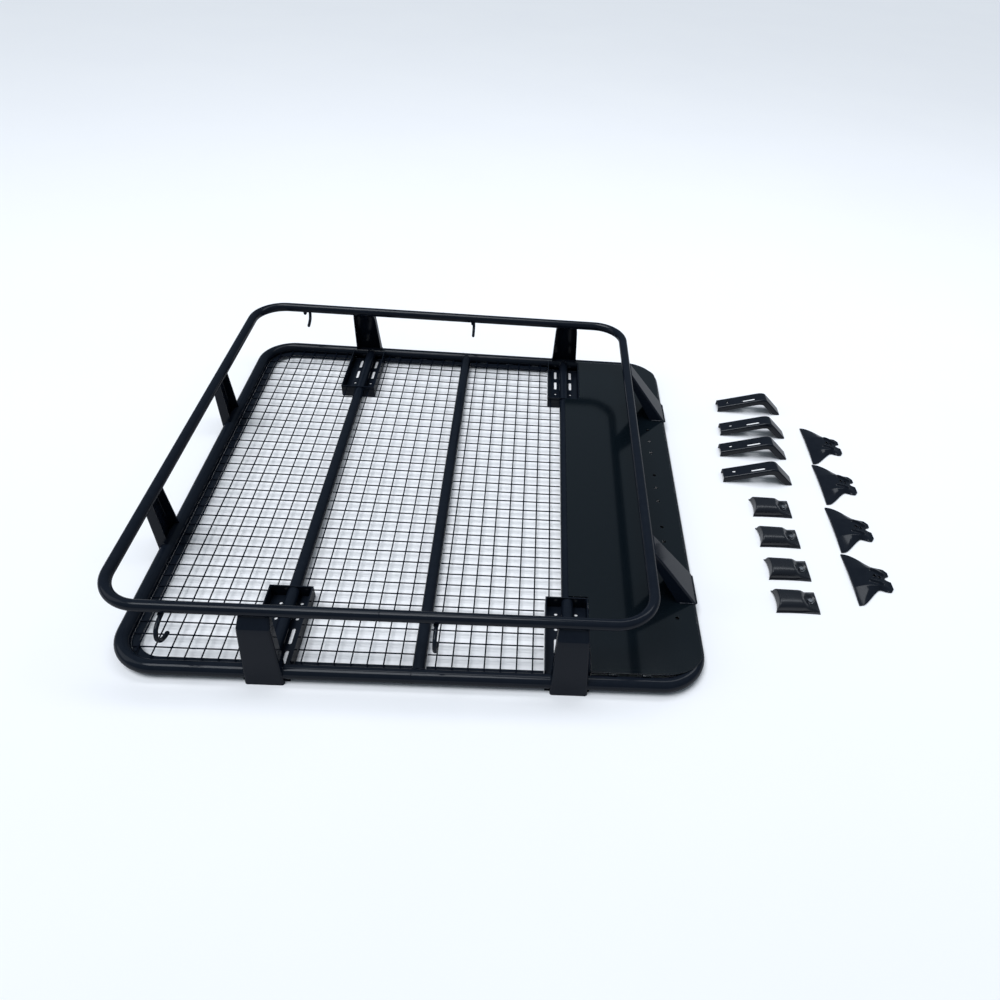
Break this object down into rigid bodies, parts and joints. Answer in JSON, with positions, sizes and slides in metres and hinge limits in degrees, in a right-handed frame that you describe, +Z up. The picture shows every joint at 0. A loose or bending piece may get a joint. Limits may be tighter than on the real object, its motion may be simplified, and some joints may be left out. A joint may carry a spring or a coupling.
{
  "type": "roof cargo basket",
  "caption": "Black welded steel roof basket with a raised tube rail, wire-mesh floor, solid front sheet and its loose mounting kit laid beside it.",
  "frame": {"origin": "on the ground, under the middle of the whole set: the basket and its kit", "axes": "+X towards the vehicle's front, +Y towards its left side, +Z up"},
  "size_m": [1.8424, 1.3364, 0.1917],
  "materials": {
    "frame_paint": "gloss black",
    "mesh_paint": "satin black",
    "panel_paint": "high-gloss black",
    "kit_paint": "gloss black",
    "cover_plastic": "semi-gloss black",
    "bolt_zinc": "bright zinc plate"
  },
  "bodies": {
    "basket": {"base_frame_front": "frame_paint", "base_frame_rear": "frame_paint", "upper_rail_front": "frame_paint", "upper_rail_rear": "frame_paint", "cross_tube_1": "frame_paint", "cross_tube_2": "frame_paint", "cross_tube_3": "frame_paint", "ledge_rear": "frame_paint", "ledge_right_middle": "frame_paint", "ledge_left_middle": "frame_paint", "ledge_right_front": "frame_paint", "ledge_left_front": "frame_paint", "mesh_rear_lengthwise": "mesh_paint", "mesh_rear_crosswise": "mesh_paint", "mesh_middle_lengthwise": "mesh_paint", "mesh_middle_crosswise": "mesh_paint", "mesh_front_lengthwise": "mesh_paint", "mesh_front_crosswise": "mesh_paint", "front_panel": "panel_paint", "upright_left_rear": "frame_paint", "upright_right_rear": "frame_paint", "upright_left_front": "frame_paint", "upright_right_front": "frame_paint", "upright_rear_right": "frame_paint", "upright_rear_left": "frame_paint", "front_strut_right": "frame_paint", "front_strut_left": "frame_paint", "mount_tray_left_rear": "frame_paint", "mount_tray_right_rear": "frame_paint", "mount_tray_left_front": "frame_paint", "mount_tray_right_front": "frame_paint", "tie_hook_1": "frame_paint", "tie_hook_2": "frame_paint", "tie_hook_3": "frame_paint", "tie_hook_4": "frame_paint"},
    "arm_1": {"roof_arm_1": "kit_paint"},
    "arm_2": {"roof_arm_2": "kit_paint"},
    "arm_3": {"roof_arm_3": "kit_paint"},
    "arm_4": {"roof_arm_4": "kit_paint"},
    "cover_1": {"foot_cover_1": "cover_plastic", "cover_bolt_1": "bolt_zinc"},
    "cover_2": {"foot_cover_2": "cover_plastic", "cover_bolt_2": "bolt_zinc"},
    "cover_3": {"foot_cover_3": "cover_plastic", "cover_bolt_3": "bolt_zinc"},
    "cover_4": {"foot_cover_4": "cover_plastic", "cover_bolt_4": "bolt_zinc"},
    "clamp_1": {"gutter_clamp_1": "kit_paint"},
    "clamp_2": {"gutter_clamp_2": "kit_paint"},
    "clamp_3": {"gutter_clamp_3": "kit_paint"},
    "clamp_4": {"gutter_clamp_4": "kit_paint"}
  },
  "joints": [
    {"name": "arm_1_lift", "type": "slide", "parent": "basket", "child": "arm_1", "axis": [0, 0, 1], "range_m": [0, 0.25]},
    {"name": "arm_2_lift", "type": "slide", "parent": "basket", "child": "arm_2", "axis": [0, 0, 1], "range_m": [0, 0.25]},
    {"name": "arm_3_lift", "type": "slide", "parent": "basket", "child": "arm_3", "axis": [0, 0, 1], "range_m": [0, 0.25]},
    {"name": "arm_4_lift", "type": "slide", "parent": "basket", "child": "arm_4", "axis": [0, 0, 1], "range_m": [0, 0.25]},
    {"name": "cover_1_lift", "type": "slide", "parent": "basket", "child": "cover_1", "axis": [0, 0, 1], "range_m": [0, 0.25]},
    {"name": "cover_2_lift", "type": "slide", "parent": "basket", "child": "cover_2", "axis": [0, 0, 1], "range_m": [0, 0.25]},
    {"name": "cover_3_lift", "type": "slide", "parent": "basket", "child": "cover_3", "axis": [0, 0, 1], "range_m": [0, 0.25]},
    {"name": "cover_4_lift", "type": "slide", "parent": "basket", "child": "cover_4", "axis": [0, 0, 1], "range_m": [0, 0.25]},
    {"name": "clamp_1_lift", "type": "slide", "parent": "basket", "child": "clamp_1", "axis": [0, 0, 1], "range_m": [0, 0.25]},
    {"name": "clamp_2_lift", "type": "slide", "parent": "basket", "child": "clamp_2", "axis": [0, 0, 1], "range_m": [0, 0.25]},
    {"name": "clamp_3_lift", "type": "slide", "parent": "basket", "child": "clamp_3", "axis": [0, 0, 1], "range_m": [0, 0.25]},
    {"name": "clamp_4_lift", "type": "slide", "parent": "basket", "child": "clamp_4", "axis": [0, 0, 1], "range_m": [0, 0.25]}
  ]
}
